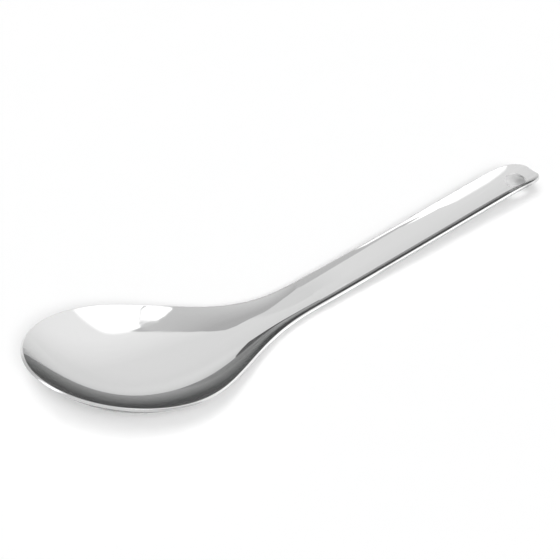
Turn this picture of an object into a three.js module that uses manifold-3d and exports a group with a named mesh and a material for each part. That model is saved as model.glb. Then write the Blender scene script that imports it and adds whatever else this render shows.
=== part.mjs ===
// A rice serving spoon pressed from one sheet of stainless steel, lying on the heel of its bowl.
// Millimetres, +Z up. +X runs from the bowl's tip to the handle's end, +Y is across the spoon,
// and z = 0 is the table. The origin is in the middle of the flat under the bowl's heel.

import * as THREE from "three";
import Module from "manifold-3d";

// The sheet
const SHEET_THICKNESS = 1.0;

// The bowl's outline, inside its rim
const BOWL_LENGTH = 120; // from the tip to where the flanks have run out into the handle
const BOWL_WIDTH = 64.8;
const WIDEST_FROM_TIP = 37.2;
const FLANK_POWER = 3.5; // how quickly the flanks draw in behind the widest place

// The bowl's pressing
const RIM_ANGLE = 16.3; // degrees that the bowl's rim falls from its tip towards the neck
const HEEL_FROM_TIP = 64; // front end of the level keel that the spoon lies on
const HEEL_BEFORE_NECK = 12; // where the keel starts to lift, ahead of the bowl's end
const HEEL_LIFT_BLEND = 12; // length over which the keel goes from level to the handle's rise
const FRONT_POWER = 2.9; // how late the keel sweeps up towards the tip
const BOWL_SECTION_POWER = 2.0; // 2 is a parabola across the bowl
const HEEL_FLAT_DEPTH = 0.25; // how deep the table has flattened the heel
const REST_BEHIND_HEEL = 12; // from the level keel's front end to the middle of that flat

// The neck
const BEND_BEFORE_NECK = 32.8; // where the rim bends, ahead of the bowl's end
const BEND_BLEND = 19.8; // length over which the rim goes from falling to rising

// The handle: a shallow channel with raised lips
const HANDLE_LENGTH = 105; // from the end of the bowl's flanks
const HANDLE_ANGLE = 4.5; // degrees that the handle rises towards its end
const NECK_WIDTH = 15.4;
const END_WIDTH = 14.6;
const CHANNEL_DEPTH = 3.2;
const CHANNEL_SECTION_POWER = 2.35;
const LIP_RUNOUT = 19.7; // length at the end over which the lips run down
const LIP_DROP = 1.2;
const END_ROUND_LENGTH = 10.7; // the end's corners are quarters of an ellipse
const END_ROUND_WIDTH = 5.1;

// The hole to hang it by
const HOLE_DIAMETER = 7.6;
const HOLE_FROM_END = 9;

// Fineness of the faceted surface
const ROWS = 72; // along the spoon
const COLUMNS = 16; // across it
const HOLE_SIDES = 32;
const SLOPE_STEP = 0.001; // length over which a slope is measured
const CUT_OVERSHOOT = 5; // how far a cutting shape reaches past what it cuts

const OVERALL_LENGTH = BOWL_LENGTH + HANDLE_LENGTH;
const BEND_FROM_TIP = BOWL_LENGTH - BEND_BEFORE_NECK;
const LIFT_FROM_TIP = BOWL_LENGTH - HEEL_BEFORE_NECK;
const REST_FROM_TIP = HEEL_FROM_TIP + REST_BEHIND_HEEL;
const RIM_FALL = Math.tan(THREE.MathUtils.degToRad(RIM_ANGLE));
const HANDLE_RISE = Math.tan(THREE.MathUtils.degToRad(HANDLE_ANGLE));

const share = (x, from, to) => THREE.MathUtils.clamp((x - from) / (to - from), 0, 1);
const bend = (x, blend) => (x + Math.hypot(x, blend)) / 2; // 0 far before x = 0, x far after it

// Half the width of the pressing at x from the tip, before the end's corners are trimmed
function pressedHalfWidth(x) {
  const widest = BOWL_WIDTH / 2;
  if (x < WIDEST_FROM_TIP) {
    const ahead = (WIDEST_FROM_TIP - x) / WIDEST_FROM_TIP;
    return widest * Math.sqrt(Math.max(0, 1 - ahead * ahead));
  }
  const flank = share(x, WIDEST_FROM_TIP, BOWL_LENGTH);
  const taper = share(x, BOWL_LENGTH, OVERALL_LENGTH);
  const handle = THREE.MathUtils.lerp(NECK_WIDTH, END_WIDTH, taper) / 2;
  return handle + (widest - NECK_WIDTH / 2) * (1 - flank * flank) ** FLANK_POWER;
}

// Half the width of the finished outline
function halfWidth(x) {
  const corner = share(x, OVERALL_LENGTH - END_ROUND_LENGTH, OVERALL_LENGTH);
  return pressedHalfWidth(x) - END_ROUND_WIDTH * (1 - Math.sqrt(1 - corner * corner));
}

function lipDrop(x) {
  return LIP_DROP * THREE.MathUtils.smoothstep(x, OVERALL_LENGTH - LIP_RUNOUT, OVERALL_LENGTH);
}

const KEEL_HEIGHT = SHEET_THICKNESS - HEEL_FLAT_DEPTH;
const RIM_HEIGHT = KEEL_HEIGHT + CHANNEL_DEPTH - HANDLE_RISE * (LIFT_FROM_TIP - BEND_FROM_TIP);

// Height of the inside of the rim, which falls along the bowl and rises along the handle
function rimHeight(x) {
  const bowl = RIM_FALL * bend(BEND_FROM_TIP - x, BEND_BLEND);
  const handle = HANDLE_RISE * bend(x - BEND_FROM_TIP, BEND_BLEND);
  return RIM_HEIGHT + bowl + handle - lipDrop(x);
}

// Height of the inside along the middle: up to the tip, level at the heel, rising in the handle
function keelHeight(x) {
  const level = (at) => KEEL_HEIGHT + HANDLE_RISE * bend(at - LIFT_FROM_TIP, HEEL_LIFT_BLEND);
  const sweep = 1 - share(x, 0, HEEL_FROM_TIP);
  return level(x) + (rimHeight(0) - level(0)) * sweep ** FRONT_POWER;
}

// Height of the concave side at x from the tip and y from the middle
function insideHeight(x, y) {
  const across = Math.abs(y) / Math.max(pressedHalfWidth(x), SLOPE_STEP);
  const blend = THREE.MathUtils.smoothstep(x, WIDEST_FROM_TIP, BOWL_LENGTH);
  const power = THREE.MathUtils.lerp(BOWL_SECTION_POWER, CHANNEL_SECTION_POWER, blend);
  const keel = keelHeight(x);
  return keel + (rimHeight(x) - keel) * across ** power;
}

// Unit normal of the concave side, measured towards the handle so that it holds at the tip too
function insideNormal(x, y) {
  const here = insideHeight(x, y);
  const alongSlope = (insideHeight(x + SLOPE_STEP, y) - here) / SLOPE_STEP;
  const up = insideHeight(x, y + SLOPE_STEP);
  const down = insideHeight(x, y - SLOPE_STEP);
  const acrossSlope = (up - down) / (2 * SLOPE_STEP);
  return new THREE.Vector3(-alongSlope, -acrossSlope, 1).normalize();
}

// Rows are closest together at the tip and at the end, where the outline turns most
function rowPlace(row) {
  return (OVERALL_LENGTH * (1 - Math.cos((Math.PI * row) / ROWS))) / 2;
}

// The pressed sheet: a grid for the concave side, one sheet thickness under it a grid for the
// convex side, and a strip of edge between them. The first row of each grid is the tip, one point.
function sheetGeometry() {
  const positions = [];
  const triangles = [];
  const addPoint = (point) => positions.push(point.x, point.y, point.z) / 3 - 1;

  const tipNormal = insideNormal(SLOPE_STEP, 0);
  const layers = [0, SHEET_THICKNESS].map((depth) => {
    const rows = [];
    for (let row = 0; row <= ROWS; row += 1) {
      const x = rowPlace(row);
      const points = [];
      for (let column = 0; column <= (row === 0 ? 0 : COLUMNS); column += 1) {
        const y = row === 0 ? 0 : halfWidth(x) * ((2 * column) / COLUMNS - 1);
        const normal = row === 0 ? tipNormal : insideNormal(x, y);
        const point = new THREE.Vector3(x, y, row === 0 ? rimHeight(0) : insideHeight(x, y));
        points.push(addPoint(point.addScaledVector(normal, -depth)));
      }
      rows.push(points);
    }
    return rows;
  });

  const addTriangle = (a, b, c, flipped) => triangles.push(a, flipped ? c : b, flipped ? b : c);
  layers.forEach((rows, side) => {
    const convex = side === 1;
    for (let column = 0; column < COLUMNS; column += 1) {
      addTriangle(rows[0][0], rows[1][column], rows[1][column + 1], convex);
      for (let row = 1; row < ROWS; row += 1) {
        const [near, far] = [rows[row], rows[row + 1]];
        addTriangle(near[column], far[column], far[column + 1], convex);
        addTriangle(near[column], far[column + 1], near[column + 1], convex);
      }
    }
  });

  // The edge runs up one side, across the handle's end and back down the other side
  const edgeOf = (rows) => {
    const left = rows.slice(1).map((points) => points[0]);
    const right = rows.slice(1).map((points) => points[COLUMNS]);
    return [rows[0][0], ...left, ...rows[ROWS].slice(1, COLUMNS), ...right.reverse()];
  };
  const [inner, outer] = layers.map(edgeOf);
  inner.forEach((from, index) => {
    const next = (index + 1) % inner.length;
    addTriangle(from, outer[index], outer[next], false);
    addTriangle(from, outer[next], inner[next], false);
  });

  const geometry = new THREE.BufferGeometry();
  geometry.setAttribute("position", new THREE.Float32BufferAttribute(positions, 3));
  geometry.setIndex(triangles);
  return geometry;
}

const wasm = await Module();
wasm.setup();

// three.js caps and sides don't share vertices, so equal positions are merged before a cut
function toSolid(geometry) {
  const source = geometry.getAttribute("position");
  const corners = geometry.index ? Array.from(geometry.index.array) : [...Array(source.count).keys()];
  const merged = new Map();
  const vertices = [];
  const place = corners.map((corner) => {
    const point = [source.getX(corner), source.getY(corner), source.getZ(corner)];
    const key = point.map((value) => value.toFixed(5)).join(" ");
    if (!merged.has(key)) {
      merged.set(key, merged.size);
      vertices.push(...point);
    }
    return merged.get(key);
  });
  const triVerts = Uint32Array.from(place);
  const vertProperties = Float32Array.from(vertices);
  return new wasm.Manifold(new wasm.Mesh({ numProp: 3, vertProperties, triVerts }));
}

function toGeometry(solid) {
  const mesh = solid.getMesh();
  const geometry = new THREE.BufferGeometry();
  geometry.setAttribute("position", new THREE.BufferAttribute(mesh.vertProperties, 3));
  geometry.setIndex(new THREE.BufferAttribute(mesh.triVerts, 1));
  geometry.computeVertexNormals();
  return geometry;
}

// The punch that pierces the hang hole, square to the handle
function hangHolePunch() {
  const x = OVERALL_LENGTH - HOLE_FROM_END;
  const length = 2 * (SHEET_THICKNESS + CHANNEL_DEPTH + CUT_OVERSHOOT);
  const punch = new THREE.CylinderGeometry(HOLE_DIAMETER / 2, HOLE_DIAMETER / 2, length, HOLE_SIDES);
  punch.rotateX(Math.PI / 2);
  punch.rotateY(-Math.atan(HANDLE_RISE));
  return punch.translate(x, 0, keelHeight(x));
}

// Everything below the table, which leaves the flat under the heel
function tableBlock() {
  const length = OVERALL_LENGTH + 2 * CUT_OVERSHOOT;
  const width = BOWL_WIDTH + 2 * CUT_OVERSHOOT;
  const depth = HEEL_FLAT_DEPTH + CUT_OVERSHOOT;
  const block = new THREE.BoxGeometry(length, width, depth);
  return block.translate(OVERALL_LENGTH / 2, 0, -depth / 2);
}

function pressedSpoon() {
  const sheet = toSolid(sheetGeometry());
  const spoon = sheet.subtract(toSolid(hangHolePunch())).subtract(toSolid(tableBlock()));
  const steel = new THREE.MeshStandardMaterial({ color: 0xd4d6d7, roughness: 0.06, metalness: 1 });
  const mesh = new THREE.Mesh(toGeometry(spoon), steel);
  mesh.name = "pressed_spoon";
  mesh.position.x = -REST_FROM_TIP;
  return mesh;
}

const riceSpoon = new THREE.Group();
riceSpoon.add(pressedSpoon());

export default riceSpoon;
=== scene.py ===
"""A polished rice spoon, pressed from one stainless sheet, lying on a white table in soft light.

Metres, +Z up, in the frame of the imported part: +X runs from the bowl's tip to the handle's end and
z = 0 is the table. The sheet is made as the real one is: a flat blank, a pierced hole, one pressing.
"""

import math
from collections import namedtuple

import bpy
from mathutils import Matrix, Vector


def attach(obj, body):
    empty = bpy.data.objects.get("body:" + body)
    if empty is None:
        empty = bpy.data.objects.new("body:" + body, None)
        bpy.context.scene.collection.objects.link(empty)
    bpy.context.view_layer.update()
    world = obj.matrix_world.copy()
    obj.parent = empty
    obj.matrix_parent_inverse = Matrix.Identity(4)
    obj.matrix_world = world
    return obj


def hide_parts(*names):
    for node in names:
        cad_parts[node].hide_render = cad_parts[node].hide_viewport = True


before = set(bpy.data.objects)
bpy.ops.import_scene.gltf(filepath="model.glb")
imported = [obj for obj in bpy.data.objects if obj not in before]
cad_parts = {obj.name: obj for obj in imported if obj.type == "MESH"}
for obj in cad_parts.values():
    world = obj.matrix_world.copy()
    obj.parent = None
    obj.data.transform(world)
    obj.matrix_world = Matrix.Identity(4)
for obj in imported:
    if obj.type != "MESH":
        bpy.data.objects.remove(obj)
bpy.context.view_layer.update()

MM = 0.001

# The sheet
SHEET_THICKNESS = 1.0 * MM
EDGE_RADIUS = 0.14 * MM  # the cut edges are tumbled smooth
EDGE_STRIP = 0.28 * MM  # first ring of faces in from an edge, which holds the rounding
EDGE_STEPS = 3
CUT_EDGE_ANGLE = 60  # only the cut edges turn more sharply than this

# The bowl's outline, inside its rim
BOWL_LENGTH = 120 * MM
BOWL_WIDTH = 64.8 * MM
WIDEST_FROM_TIP = 37.2 * MM
FLANK_POWER = 3.5

# The bowl's pressing
RIM_ANGLE = 16.3
HEEL_FROM_TIP = 64 * MM
HEEL_BEFORE_NECK = 12 * MM
HEEL_LIFT_BLEND = 12 * MM
FRONT_POWER = 2.9
BOWL_SECTION_POWER = 2.0
HEEL_FLAT_DEPTH = 0.25 * MM
REST_BEHIND_HEEL = 12 * MM

# The neck
BEND_BEFORE_NECK = 32.8 * MM
BEND_BLEND = 19.8 * MM

# The handle
HANDLE_LENGTH = 105 * MM
HANDLE_ANGLE = 4.5
NECK_WIDTH = 15.4 * MM
END_WIDTH = 14.6 * MM
CHANNEL_DEPTH = 3.2 * MM
CHANNEL_SECTION_POWER = 2.35
LIP_RUNOUT = 19.7 * MM
LIP_DROP = 1.2 * MM
END_ROUND_LENGTH = 10.7 * MM
END_ROUND_WIDTH = 5.1 * MM

# The hang hole
HOLE_DIAMETER = 7.6 * MM
HOLE_FROM_END = 9 * MM

# The steel's finish
STEEL_PALE = "#dedede"
STEEL_DEEP = "#dadada"
GRAZING_STEEL = "#505352"
FILM_WEIGHT = 1.0
FILM_HAZE = 0.4
LEAST_HAZE = 0.03
MOST_HAZE = 0.06
LINE_WIDTH = 0.5 * MM  # wider than a real buffing line, so that it shows
LINE_LENGTH = 25 * MM
FAINT_LINE = 0.3  # the noise that gives the least haze
STRONG_LINE = 0.7  # and the most
WAVE_LENGTH = 14 * MM
WAVE_HEIGHT = 0.003 * MM
TUMBLE_GRAIN = 0.4 * MM  # coarser than the real grain, so that it shows
LEAST_SATIN = 0.12
MOST_SATIN = 0.3

# The table
TABLE_SIZE = 6.0
TABLE_WHITE = "#fbfbfb"
BACKDROP = 1.0  # what the camera sees past the table
DOME = 0.335  # the room's light on the table

# The brightnesses that the steel mirrors
ROOM = 0.63  # beside the panels and cards
DIM_WALL = 0.83
GLOW = 1.08
LAMP = 1.75
EDGE_LAMP = 1.6
SHADE = 0.11

# Borders of the panels, as the sine of their width
CRISP = 0.012
BLURRED = 0.3

# The camera, with its azimuth from +X
CAMERA_AZIMUTH = -129
CAMERA_ELEVATION = 38
CAMERA_DISTANCE = 853 * MM
CAMERA_AIM = Vector((26.2 * MM, 0, 17.76 * MM))
LENS = 156.33

# The blank's grid of faces
COLUMNS = 48
FRONT_ROWS = 48  # from the tip to the widest place, around the bowl's front
MIDDLE_ROWS = 132
HOLE_ROWS = 18  # over the last stretch before the hole's centre
FAN_ROWS = 24  # from there around the hole to the middle of the end
HOLE_RING = 11  # rings of grid points from the hole's centre to its edge
PATCH_RING = 16  # and to where the grid is left square

OVERALL_LENGTH = BOWL_LENGTH + HANDLE_LENGTH
BEND_FROM_TIP = BOWL_LENGTH - BEND_BEFORE_NECK
LIFT_FROM_TIP = BOWL_LENGTH - HEEL_BEFORE_NECK
REST_FROM_TIP = HEEL_FROM_TIP + REST_BEHIND_HEEL
RIM_FALL = math.tan(math.radians(RIM_ANGLE))
HANDLE_RISE = math.tan(math.radians(HANDLE_ANGLE))
KEEL_HEIGHT = SHEET_THICKNESS - HEEL_FLAT_DEPTH
RIM_HEIGHT = KEEL_HEIGHT + CHANNEL_DEPTH - HANDLE_RISE * (LIFT_FROM_TIP - BEND_FROM_TIP)
HOLE_FROM_TIP = OVERALL_LENGTH - HOLE_FROM_END
END_START = HOLE_FROM_TIP - HOLE_FROM_END
HOLE_ROW = FRONT_ROWS + MIDDLE_ROWS + HOLE_ROWS
HOLE_COLUMN = COLUMNS // 2
ROWS = HOLE_ROW + FAN_ROWS
TINY = 1e-7
FLAT_MARGIN = 0.001 * MM


def share(x, start, end):
    return min(max((x - start) / (end - start), 0.0), 1.0)


def smooth(x, start, end):
    t = share(x, start, end)
    return t * t * (3 - 2 * t)


def mix(a, b, t):
    return a + (b - a) * t


def bend(x, blend):
    """0 far before x = 0 and x far after it."""
    return (x + math.hypot(x, blend)) / 2


def pressed_half_width(x):
    """Half the pressing's width at x from the tip, before the end's corners are trimmed."""
    widest = BOWL_WIDTH / 2
    if x < WIDEST_FROM_TIP:
        ahead = (WIDEST_FROM_TIP - x) / WIDEST_FROM_TIP
        return widest * math.sqrt(max(0.0, 1 - ahead * ahead))
    flank = share(x, WIDEST_FROM_TIP, BOWL_LENGTH)
    handle = mix(NECK_WIDTH, END_WIDTH, share(x, BOWL_LENGTH, OVERALL_LENGTH)) / 2
    return handle + (widest - NECK_WIDTH / 2) * (1 - flank * flank) ** FLANK_POWER


def half_width(x):
    """Half the sheet's width at x from the tip."""
    corner = share(x, OVERALL_LENGTH - END_ROUND_LENGTH, OVERALL_LENGTH)
    return pressed_half_width(x) - END_ROUND_WIDTH * (1 - math.sqrt(1 - corner * corner))


def rim_height(x):
    """Height of the rim. It falls from the raised tip to the neck and rises again with the handle."""
    bowl = RIM_FALL * bend(BEND_FROM_TIP - x, BEND_BLEND)
    handle = HANDLE_RISE * bend(x - BEND_FROM_TIP, BEND_BLEND)
    return RIM_HEIGHT + bowl + handle - LIP_DROP * smooth(x, OVERALL_LENGTH - LIP_RUNOUT, OVERALL_LENGTH)


def keel_height(x):
    """Height of the inside along the middle. It sweeps up to the rim at the tip and lifts at the neck."""

    def unswept(at):
        return KEEL_HEIGHT + HANDLE_RISE * bend(at - LIFT_FROM_TIP, HEEL_LIFT_BLEND)

    sweep = 1 - share(x, 0, HEEL_FROM_TIP)
    return unswept(x) + (rim_height(0) - unswept(0)) * sweep**FRONT_POWER


def inside_height(x, y):
    """Height of the sheet's inside at x from the tip and y from the middle."""
    across = min(abs(y) / max(pressed_half_width(x), TINY), 1.0)
    blend = smooth(x, WIDEST_FROM_TIP, BOWL_LENGTH)
    power = mix(BOWL_SECTION_POWER, CHANNEL_SECTION_POWER, blend)
    keel = keel_height(x)
    return keel + (rim_height(x) - keel) * across**power


# The flat blank


def spread(step, steps, strip):
    """Place from -1 to 1 of a grid line: even, but for one narrow strip at each end."""
    place = 2 * step / steps - 1
    inner = 1 - 2 / steps
    if abs(place) <= inner:
        return place / inner * (1 - strip)
    outer = (abs(place) - inner) / (1 - inner)
    return math.copysign(mix(1 - strip, 1, outer), place)


def bowl_front(row, column):
    """The half ellipse ahead of the widest place. Rows fan out from its centre, and the lines of both
    sides meet on the way to the tip."""
    reach = spread(column, COLUMNS, EDGE_STRIP / (BOWL_WIDTH / 2))
    turn = math.pi / 2 * row / FRONT_ROWS
    return WIDEST_FROM_TIP * (1 - abs(reach) * math.cos(turn)), BOWL_WIDTH / 2 * reach * math.sin(turn)


def straight_rows(row, column):
    """The rows straight across, from the widest place to the hole's centre."""
    past = row - FRONT_ROWS - MIDDLE_ROWS
    if past < 0:
        x = mix(END_START, WIDEST_FROM_TIP, -past / MIDDLE_ROWS)
    else:
        x = mix(END_START, HOLE_FROM_TIP, past / HOLE_ROWS)
    half = half_width(x)
    return x, half * spread(column, COLUMNS, EDGE_STRIP / half)


def end_edge(along):
    """The handle's outline from beside the hole's centre to the middle of the end."""
    straight = half_width(OVERALL_LENGTH)
    start = math.asin(1 - HOLE_FROM_END / END_ROUND_LENGTH)
    corner = (math.pi / 2 - start) * (END_ROUND_LENGTH + END_ROUND_WIDTH) / 2
    corner_share = corner / (corner + straight)
    if along > corner_share:
        return OVERALL_LENGTH, straight * (1 - along) / (1 - corner_share)
    turn = mix(start, math.pi / 2, along / corner_share)
    x = OVERALL_LENGTH - END_ROUND_LENGTH * (1 - math.sin(turn))
    return x, half_width(x)


def behind_hole(row, column):
    """Rows that fan out around the hole. The lines of both sides meet in the middle of the end."""
    hole = HOLE_DIAMETER / 2
    beside = abs(blank_place(HOLE_ROW, column)[1])
    out = (beside - hole) / (half_width(HOLE_FROM_TIP) - hole)
    along = (row - HOLE_ROW) / FAN_ROWS
    turn = math.pi / 2 * (1 - along)
    edge_x, edge_y = end_edge(along)
    x = mix(HOLE_FROM_TIP + hole * math.cos(turn), edge_x, out)
    y = mix(hole * math.sin(turn), edge_y, out)
    return x, math.copysign(y, column - HOLE_COLUMN)


def hole_ring(row, column):
    """Which square ring of the grid, counted from the hole's centre, a place is on."""
    return max(HOLE_ROW - row, abs(column - HOLE_COLUMN))


def blank_place(row, column):
    """Place of a grid point in the flat blank. Ahead of the hole square rings turn into round ones."""
    if row < FRONT_ROWS:
        return bowl_front(row, column)
    if row > HOLE_ROW:
        return behind_hole(row, column)
    ring = hole_ring(row, column)
    if ring >= PATCH_RING or ring < HOLE_RING:
        return straight_rows(row, column)
    ahead, aside = row - HOLE_ROW, column - HOLE_COLUMN
    turn = math.atan2(aside, ahead)
    step = ring - HOLE_RING
    radius = HOLE_DIAMETER / 2 + (EDGE_STRIP if step else 0.0)
    round_x, round_y = HOLE_FROM_TIP + radius * math.cos(turn), radius * math.sin(turn)
    grow = PATCH_RING / ring
    square_x, square_y = straight_rows(HOLE_ROW + ahead * grow, HOLE_COLUMN + aside * grow)
    out = max(step - 1, 0) / (PATCH_RING - HOLE_RING - 1)
    return mix(round_x, square_x, out), mix(round_y, square_y, out)


def select_faces(piece, wanted):
    """Go into edit mode with only the wanted faces selected."""
    bpy.ops.object.mode_set(mode="EDIT")
    bpy.ops.mesh.select_mode(type="FACE")
    bpy.ops.mesh.select_all(action="DESELECT")
    bpy.ops.object.mode_set(mode="OBJECT")
    for face in piece.data.polygons:
        face.select = wanted(face)
    bpy.ops.object.mode_set(mode="EDIT")


def apply_modifier(piece, kind, **settings):
    modifier = piece.modifiers.new(kind.title(), kind)
    for name, value in settings.items():
        setattr(modifier, name, value)
    bpy.ops.object.modifier_apply(modifier=modifier.name)


def colour(code):
    """Linear colour of an sRGB hex code."""
    values = [int(code[i : i + 2], 16) / 255 for i in (1, 3, 5)]
    linear = [v / 12.92 if v <= 0.04045 else ((v + 0.055) / 1.055) ** 2.4 for v in values]
    return (*linear, 1.0)


# Sockets of the Mix node, which shares their names between its types
MIX_SHARE = 0
MIX_A, MIX_B = 2, 3
MIX_COLOUR_A, MIX_COLOUR_B = 6, 7
MIXED_COLOUR = 2


def node(tree, kind, inputs, **settings):
    """Add a node. Inputs are values for its sockets, or the sockets that feed them."""
    made = tree.nodes.new("ShaderNode" + kind)
    for name, value in settings.items():
        setattr(made, name, value)
    for key, value in inputs.items():
        if isinstance(value, bpy.types.NodeSocket):
            tree.links.new(value, made.inputs[key])
        else:
            made.inputs[key].default_value = value
    return made


def mirror_polished_stainless():
    """Pressed 18/8 sheet, buffed along its length to a mirror, under a thin hazy film. The eye sees clear,
    cool reflections, a little wavy from the pressing, with a faint haze of buffing lines, and greener,
    darker ones at a graze."""
    steel = bpy.data.materials.new("mirror_polished_stainless")
    steel.use_nodes = True
    tree = steel.node_tree
    shader = tree.nodes["Principled BSDF"]
    shader.inputs["Metallic"].default_value = 1.0
    shader.inputs["Specular Tint"].default_value = colour(GRAZING_STEEL)
    shader.inputs["Coat Weight"].default_value = FILM_WEIGHT
    shader.inputs["Coat Roughness"].default_value = FILM_HAZE
    place = node(tree, "TexCoord", {}).outputs["Object"]

    # Buffing lines
    line_scale = (1 / LINE_LENGTH, 1 / LINE_WIDTH, 1 / LINE_WIDTH)
    lengthwise = node(tree, "Mapping", {"Vector": place, "Scale": line_scale}).outputs[0]
    noise = node(tree, "TexNoise", {"Vector": lengthwise, "Scale": 1.0, "Detail": 3.0})
    lines = noise.outputs["Fac"]
    haze = node(tree, "MapRange", {
        "Value": lines, "From Min": FAINT_LINE, "From Max": STRONG_LINE,
        "To Min": LEAST_HAZE, "To Max": MOST_HAZE,
    })
    tree.links.new(haze.outputs[0], shader.inputs["Roughness"])
    tone = node(tree, "Mix", {
        MIX_SHARE: lines, MIX_COLOUR_A: colour(STEEL_DEEP), MIX_COLOUR_B: colour(STEEL_PALE),
    }, data_type="RGBA")
    tree.links.new(tone.outputs[MIXED_COLOUR], shader.inputs["Base Color"])

    # The pressing's slight waves
    waves = node(tree, "TexNoise", {"Vector": place, "Scale": 1 / WAVE_LENGTH, "Detail": 1.0})
    bump = node(tree, "Bump", {"Height": waves.outputs["Fac"], "Distance": WAVE_HEIGHT, "Strength": 1.0})
    tree.links.new(bump.outputs[0], shader.inputs["Normal"])
    return steel


def tumbled_cut_edge():
    """The blanked edge, tumbled round. The eye sees a satin line, less clear than the mirror beside it."""
    edge = bpy.data.materials.new("tumbled_cut_edge")
    edge.use_nodes = True
    tree = edge.node_tree
    shader = tree.nodes["Principled BSDF"]
    shader.inputs["Metallic"].default_value = 1.0
    shader.inputs["Base Color"].default_value = colour(STEEL_PALE)
    place = node(tree, "TexCoord", {}).outputs["Object"]
    grain = node(tree, "TexNoise", {"Vector": place, "Scale": 1 / TUMBLE_GRAIN, "Detail": 2.0})
    satin = node(tree, "MapRange", {
        "Value": grain.outputs["Fac"], "To Min": LEAST_SATIN, "To Max": MOST_SATIN,
    })
    tree.links.new(satin.outputs[0], shader.inputs["Roughness"])
    return edge


def matt_white_table():
    """Matt white board. The eye sees plain white, a soft shadow and no shine."""
    board = bpy.data.materials.new("matt_white_table")
    board.use_nodes = True
    shader = board.node_tree.nodes["Principled BSDF"]
    shader.inputs["Base Color"].default_value = colour(TABLE_WHITE)
    shader.inputs["Specular IOR Level"].default_value = 0.0
    shader.inputs["Roughness"].default_value = 1.0
    return board


def pressed_spoon():
    """The spoon: a blank is pierced, drawn out and pressed, and gets its thickness, edges and flat."""
    bpy.ops.object.select_all(action="DESELECT")
    bpy.ops.mesh.primitive_grid_add(x_subdivisions=ROWS, y_subdivisions=COLUMNS, size=2)
    piece = bpy.context.object
    piece.name = "polished_spoon"

    def row_of(u):
        return (u + 1) / 2 * ROWS

    def column_of(v):
        return (v + 1) / 2 * COLUMNS

    # Pierce the hole
    select_faces(piece, lambda face: hole_ring(row_of(face.center.x), column_of(face.center.y)) < HOLE_RING)
    bpy.ops.mesh.delete(type="FACE")
    bpy.ops.object.mode_set(mode="OBJECT")

    piece.data.materials.append(mirror_polished_stainless())
    piece.data.materials.append(tumbled_cut_edge())

    # Draw out the blank and press it
    for vertex in piece.data.vertices:
        x, y = blank_place(round(row_of(vertex.co.x)), round(column_of(vertex.co.y)))
        vertex.co = (x - REST_FROM_TIP, y, inside_height(x, y))
    bpy.ops.object.mode_set(mode="EDIT")
    bpy.ops.mesh.select_all(action="SELECT")
    bpy.ops.mesh.remove_doubles(threshold=TINY)
    bpy.ops.object.mode_set(mode="OBJECT")

    # The sheet's thickness and its tumbled edges
    apply_modifier(piece, "SOLIDIFY", thickness=SHEET_THICKNESS, offset=-1, use_even_offset=True,
                   use_quality_normals=True, material_offset_rim=1)
    apply_modifier(piece, "BEVEL", width=EDGE_RADIUS, segments=EDGE_STEPS, limit_method="ANGLE",
                   angle_limit=math.radians(CUT_EDGE_ANGLE), use_clamp_overlap=False)

    # The flat that the heel rests on
    bpy.ops.object.mode_set(mode="EDIT")
    bpy.ops.mesh.select_all(action="SELECT")
    bpy.ops.mesh.bisect(plane_co=(0, 0, 0), plane_no=(0, 0, 1), use_fill=True, clear_inner=True,
                        threshold=TINY)
    bpy.ops.object.mode_set(mode="OBJECT")
    bpy.ops.object.shade_smooth()
    select_faces(piece, lambda face: face.center.z < FLAT_MARGIN)
    bpy.ops.mesh.region_to_loop()
    bpy.ops.mesh.mark_sharp()
    bpy.ops.object.mode_set(mode="OBJECT")
    return piece


spoon = pressed_spoon()
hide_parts("pressed_spoon")
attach(spoon, "root")

# The table
bpy.ops.object.select_all(action="DESELECT")
bpy.ops.mesh.primitive_plane_add(size=TABLE_SIZE)
floor = bpy.context.object
floor.name = "table"
floor.data.materials.append(matt_white_table())

# The studio that the steel mirrors
Fade = namedtuple("Fade", "slope near far")


def toward(azimuth, elevation):
    """Direction with an azimuth from +X and an elevation, both in degrees."""
    a, e = math.radians(azimuth), math.radians(elevation)
    return Vector((math.cos(a) * math.cos(e), math.sin(a) * math.cos(e), math.sin(e)))


def brightness(tree, place, shade):
    """A shade is a number, or a fade along its slope. The fade's near and far are pairs of a distance
    along the slope and the brightness there."""
    if not isinstance(shade, Fade):
        return shade
    start, start_value = shade.near
    end, end_value = shade.far
    along = node(tree, "VectorMath", {0: place, 1: shade.slope}, operation="DOT_PRODUCT")
    return node(tree, "MapRange", {
        "Value": along.outputs["Value"],
        "From Min": start, "From Max": end, "To Min": start_value, "To Max": end_value,
    }).outputs[0]


# Each panel has its shade, the border of each of its sides, and its corners as azimuths and elevations.
# Panels are convex, and a later one covers those before it. The comments say where the steel shows them
LIT_WALL = Fade(slope=toward(-100, -20), near=(-0.55, 0.95), far=(-0.20, 1.10))
PANELS = (
    # The near edge under the bowl's front
    (DIM_WALL,
     (0.3, 0.2, 0.2, 0.05),
     ((-66, -8), (-60, 78), (-170, 60), (-170, -8))),
    # The bowl's base and its dark band, from one wall in two halves
    (LIT_WALL,
     (CRISP,) * 6,
     ((-33, -8), (-25, 66), (-12, 70), (8, 69), (26, 64), (72, -8))),
    (LIT_WALL,
     (CRISP,) * 5,
     ((20, -8), (95, -8), (43, 60), (26, 64), (20, 60))),
    # The base along the dark band
    (GLOW,
     (BLURRED,) * 5,
     ((8, -20), (100, -20), (90, 20), (62, 28), (12, 6))),
    # The bright patch on the bowl's far side
    (LAMP,
     (CRISP, CRISP, CRISP, 0.08, 0.08, 0.02),
     ((-76, 53), (-71, 58), (-45, 63.5), (-28, 59), (-20, 48), (-28, 26))),
    # The near edge beside the tip
    (LAMP,
     (0.1,) * 4,
     ((138, 25), (138, 65), (174, 65), (174, 25))),
)


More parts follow.
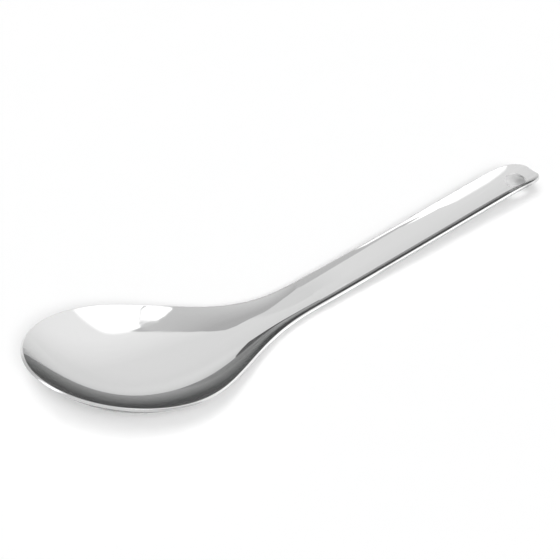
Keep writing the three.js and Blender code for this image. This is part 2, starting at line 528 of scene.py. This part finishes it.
def panel_shown(tree, direction, borders, corners):
    """1 inside a panel and 0 outside it. Its sides are great circles through its corners."""
    points = [toward(*corner) for corner in corners]
    middle = sum(points, Vector())
    shown = 1.0
    for border, first, second in zip(borders, points, points[1:] + points[:1]):
        inward = first.cross(second).normalized()
        if inward.dot(middle) < 0:
            inward.negate()
        depth = node(tree, "VectorMath", {0: direction, 1: inward}, operation="DOT_PRODUCT")
        side = node(tree, "MapRange", {
            "Value": depth.outputs["Value"], "From Min": -border / 2, "From Max": border / 2,
        }, interpolation_type="SMOOTHSTEP")
        shown = node(tree, "Math", {0: shown, 1: side.outputs[0]}, operation="MULTIPLY").outputs[0]
    return shown


def soft_studio():
    """The camera sees a white backdrop, an even dome lights the table, and the steel mirrors the panels."""
    world = bpy.data.worlds.new("soft_studio")
    world.use_nodes = True
    tree = world.node_tree
    direction = node(tree, "TexCoord", {}).outputs["Generated"]
    mirrored = ROOM
    for shade, borders, corners in PANELS:
        shown = panel_shown(tree, direction, borders, corners)
        bright = brightness(tree, direction, shade)
        mirrored = node(tree, "Mix", {MIX_SHARE: shown, MIX_A: mirrored, MIX_B: bright}).outputs[0]
    ray = node(tree, "LightPath", {}).outputs
    plain = node(tree, "Mix", {MIX_SHARE: ray["Is Camera Ray"], MIX_A: DOME, MIX_B: BACKDROP}).outputs[0]
    strength = node(tree, "Mix", {MIX_SHARE: ray["Is Glossy Ray"], MIX_A: plain, MIX_B: mirrored})
    background = tree.nodes["Background"]
    tree.links.new(strength.outputs[0], background.inputs["Strength"])
    background.inputs["Color"].default_value = colour("#ffffff")
    return world


bpy.context.scene.world = soft_studio()


def card(name, shade, outline):
    """A card that only the steel mirrors. Its outline and the distances of its shade are in mm."""
    bpy.ops.object.select_all(action="DESELECT")
    bpy.ops.mesh.primitive_circle_add(vertices=len(outline), fill_type="NGON")
    made = bpy.context.object
    made.name = name
    for vertex, place in zip(made.data.vertices, outline):
        vertex.co = Vector(place) * MM
    made.visible_camera = False
    made.visible_diffuse = False
    made.visible_shadow = False
    paint = bpy.data.materials.new(name)
    paint.use_nodes = True
    tree = paint.node_tree
    tree.nodes.clear()
    place = node(tree, "TexCoord", {}).outputs["Object"]
    place_in_mm = node(tree, "VectorMath", {0: place, "Scale": 1 / MM}, operation="SCALE").outputs["Vector"]
    glow = node(tree, "Emission", {"Strength": brightness(tree, place_in_mm, shade)})
    node(tree, "OutputMaterial", {"Surface": glow.outputs[0]})
    made.data.materials.append(paint)


def level(height, outline):
    """An outline of x and y, lying at this height."""
    return [(x, y, height) for x, y in outline]


def upright(y, outline):
    """An outline of x and z, standing at this y."""
    return [(x, y, z) for x, z in outline]


# The grey wedge on the bowl's far side and the far lip of the neck
card("neck_flag", Fade(slope=(0.65, 1, 0), near=(4, 0.79), far=(18, 0.55)), level(30, (
    (-1.5, 7.5), (-3, 9.5), (-5, 11), (-10, 13.5), (-4, 12), (2, 11), (10, 10.5), (20, 12), (24, 10.5),
    (29, 5.5), (35.5, 1), (41, -5.5), (45.5, -10), (54, -15.5), (75, -50), (60, -55), (40, -32), (10, -30),
)))

# The neck's channel
card("neck_sky", Fade(slope=(0.5, -1, 0), near=(7, 0.95), far=(13, 0.87)), level(31, (
    (27, 8), (30, -17), (57, -17), (57, 15), (48, 16), (36, 12),
)))

# The handle's channel
card("handle_sky", Fade(slope=(1, 0, 0), near=(64, 0.87), far=(80, 0.96)), level(50, (
    (60, -30.5), (115, -30), (121, -23), (130, -19), (131, -36), (200, -36), (200, 5), (130, 8), (85, 24),
    (63, 16),
)))

# The white strip on the handle's far lip
card("handle_softbox", Fade(slope=(0, 1, 0), near=(-16, 1.75), far=(-6, 0.97)), level(49, (
    (99, -50), (99, -44), (102, -38), (117, -34.5), (123, -29.5), (129.5, -20.5), (136, -8), (145, -5),
    (165, -6), (172, -14), (174, -50),
)))

# The inside of the tip
card("tip_bounce", Fade(slope=(0, 0, 1), near=(10, 1.14), far=(30, 1.08)), (
    (78, 37, 0), (78, 37, 30), (60, 75, 30), (60, 75, 0),
))

# The near edge from the bowl's flank to the handle
card("edge_glow", EDGE_LAMP, level(20, ((20, -18), (20, -45), (75, -45), (75, -16), (42, -16))))

# The step in the dark band at the neck
card("far_shade", SHADE, upright(30, ((18.5, 0), (18.5, 10), (22, 13), (28, 17), (60, 17.5), (60, 0))))


def soft_light(name, azimuth, elevation, angle, energy):
    """A light that the steel doesn't mirror."""
    bpy.ops.object.light_add(type="SUN")
    made = bpy.context.object
    made.name = name
    made.data.energy = energy
    made.data.angle = math.radians(angle)
    made.visible_glossy = False
    made.rotation_euler = toward(azimuth, elevation).to_track_quat("Z", "Y").to_euler()


# Two lights on either side of the camera, which spread the shadow to both ends of the spoon
soft_light("low_light", azimuth=-122, elevation=39, angle=16, energy=1.95)
soft_light("high_light", azimuth=-138, elevation=58, angle=20, energy=1.15)

# The camera
back = toward(CAMERA_AZIMUTH, CAMERA_ELEVATION)
bpy.ops.object.camera_add(location=CAMERA_AIM + CAMERA_DISTANCE * back)
camera = bpy.context.object
camera.rotation_euler = back.to_track_quat("Z", "Y").to_euler()
camera.data.lens = LENS
bpy.context.scene.camera = camera

bpy.context.scene.view_settings.view_transform = "Standard"
